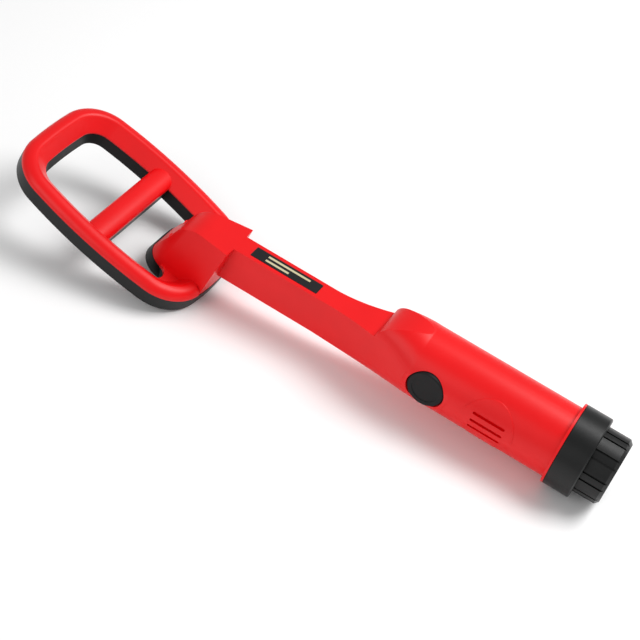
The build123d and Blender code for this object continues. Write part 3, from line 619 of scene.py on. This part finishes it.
PRINT_MARGIN = 9.5 * MM
PRINT_ROW = 1.9 * MM
plate_low, plate_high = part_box("label_plate")
rows = [Vector((plate_low.x + PRINT_MARGIN, side * PRINT_ROW, plate_high.z + 0.01 * MM)) for side in (1, -1)]
grown("label_print", rows, bars_tree(), {}, "housing", label_ink)

# %% [markdown]
# The detector lies on a pale table. It touches at two places: the near end of the search loop and the
# bottom of the cap's collar. The floor is a plane through those two, so it leans a few degrees against
# the grip's axis. The lights are large and soft, as in a product studio: a key from the upper right, a
# weaker fill from the left, and a bright even sky.

# %% Floor, lights and camera
FLOOR_GAP = 0.1 * MM
FLOOR_HALF = 4.0
SENSOR_WIDTH = 36
FAR_CLIP = 20


def foot(node, along):
    """The vertex of a CAD piece that touches first a floor which runs along a direction."""
    down = Vector((along.z, 0, -along.x))
    return max((v.co for v in nodes[node].data.vertices), key=down.dot)


def studio_floor():
    """A large plane under the two points that the detector rests on."""
    along = Vector((1, 0, 0))
    for _ in range(6):
        loop_foot = foot("loop_base", along)
        cap_foot = foot("battery_cap", along)
        along = Vector((cap_foot.x - loop_foot.x, 0, cap_foot.z - loop_foot.z)).normalized()
    middle = Vector(((loop_foot.x + cap_foot.x) / 2, 0, (loop_foot.z + cap_foot.z) / 2 - FLOOR_GAP))
    half = FLOOR_HALF
    mesh = bpy.data.meshes.new("studio_floor")
    signs = ((-1, -1), (1, -1), (1, 1), (-1, 1))
    corners = [middle + along * a * half + Vector((0, b * half, 0)) for a, b in signs]
    mesh.from_pydata([tuple(c) for c in corners], [], [(0, 1, 2, 3)])
    floor = bpy.data.objects.new("studio_floor", mesh)
    scene.collection.objects.link(floor)
    material, tree, shader, place = start("matt_paper")
    shader.inputs["Base Color"].default_value = linear("#FCFCFC")
    shader.inputs["Roughness"].default_value = 0.9
    shader.inputs["Specular IOR Level"].default_value = 0.2
    mesh.materials.append(material)
    return floor


def soft_light(name, place, target, size, power, colour="#FFFFFF"):
    """A square area light that faces its target."""
    data = bpy.data.lights.new(name, "AREA")
    data.size = size
    data.energy = power
    data.color = linear(colour)[:3]
    light = bpy.data.objects.new(name, data)
    light.location = place
    light.rotation_euler = (Vector(target) - Vector(place)).to_track_quat("-Z", "Y").to_euler()
    scene.collection.objects.link(light)


def camera_at(azimuth, elevation, roll, aim, distance, lens):
    """A camera that looks at aim from an azimuth and elevation in degrees, rolled about its own axis."""
    a, e, r = radians(azimuth), radians(elevation), radians(roll)
    back = Vector((sin(a) * cos(e), -cos(a) * cos(e), sin(e)))
    level = Vector((cos(a), sin(a), 0))
    upright = back.cross(level)
    right = level * cos(r) + upright * sin(r)
    up = upright * cos(r) - level * sin(r)
    data = bpy.data.cameras.new("studio_camera")
    data.sensor_width = SENSOR_WIDTH
    data.lens = lens
    data.clip_end = FAR_CLIP
    camera = bpy.data.objects.new("studio_camera", data)
    camera.matrix_world = Matrix((right, up, back)).transposed().to_4x4()
    camera.location = aim + back * distance
    scene.collection.objects.link(camera)
    scene.camera = camera


AIM = Vector((-0.1636, 0.0, -0.0159))
studio_floor()
soft_light("key_light", place=(0.35, 0.45, 1.15), target=AIM, size=0.8, power=15.5)
soft_light("front_fill", place=(-0.7, -1.2, 0.7), target=AIM, size=1.0, power=5.5)
camera_at(azimuth=16.27, elevation=43.0, roll=19.57, aim=AIM, distance=0.967, lens=89.2)

world = bpy.data.worlds.new("studio_sky")
world.use_nodes = True
sky = world.node_tree.nodes["Background"]
sky.inputs["Color"].default_value = linear("#FFFFFF")
sky.inputs["Strength"].default_value = 0.42
scene.world = world
scene.view_settings.view_transform = "Standard"
print("studio ready")
